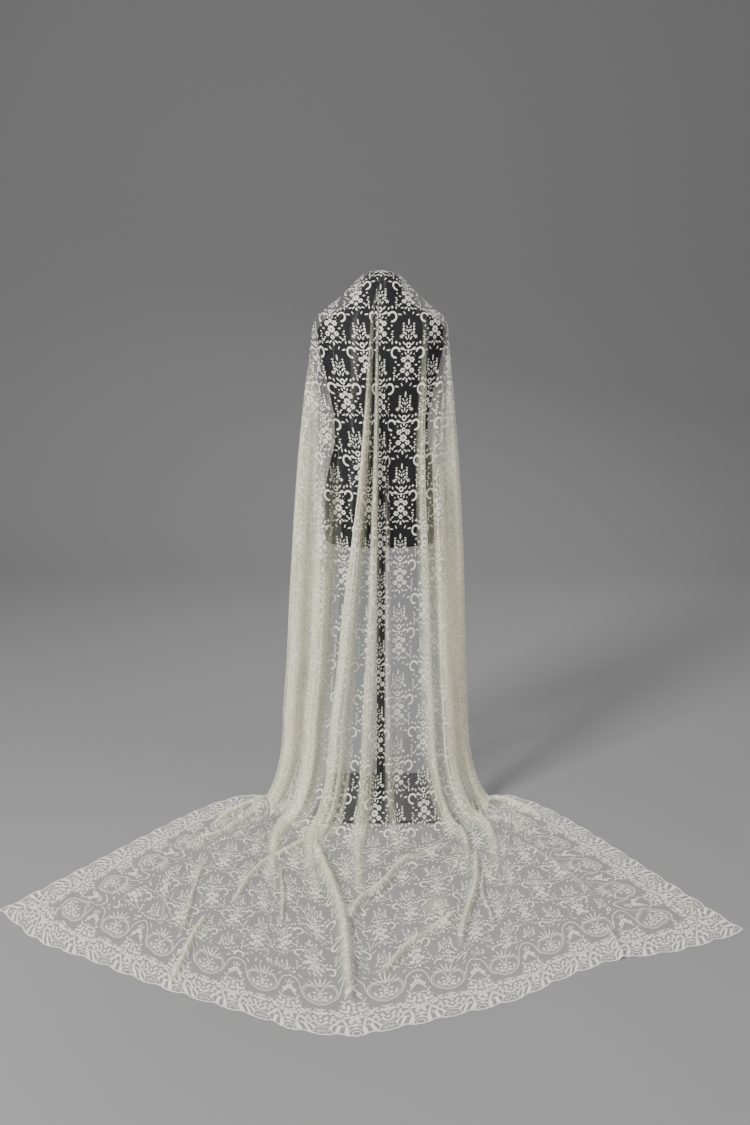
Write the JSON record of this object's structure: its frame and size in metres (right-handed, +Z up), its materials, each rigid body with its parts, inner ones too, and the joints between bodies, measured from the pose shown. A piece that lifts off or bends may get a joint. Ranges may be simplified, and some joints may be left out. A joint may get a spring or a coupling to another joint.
{
  "type": "lace bridal veil on a dress form stand",
  "caption": "Cream net lace bridal veil draped over a limbless black dress form on a pole and square plate, falling in tube folds to a scalloped train spread on the floor",
  "frame": {"origin": "centre of the underside of the base plate, on the floor", "axes": "+Z up; the train runs toward -Y, which is the back of the form; +X is to the right when seen from the back"},
  "size_m": [1.8739, 1.395, 1.6004],
  "materials": {
    "stand_black": "satin black",
    "form_cloth": "matt black jersey",
    "veil_lace": "cream machine net lace"
  },
  "bodies": {
    "root": {"base_plate": "stand_black", "stand_pole": "stand_black", "form_body": "form_cloth", "form_neck_cap": "form_cloth", "veil_top": "veil_lace", "veil_left_fall": "veil_lace", "veil_centre_fall": "veil_lace", "veil_right_fall": "veil_lace", "veil_left_foot": "veil_lace", "veil_centre_foot": "veil_lace", "veil_right_foot": "veil_lace", "veil_front_fall": "veil_lace", "veil_train": "veil_lace", "veil_border": "veil_lace"}
  },
  "joints": []
}
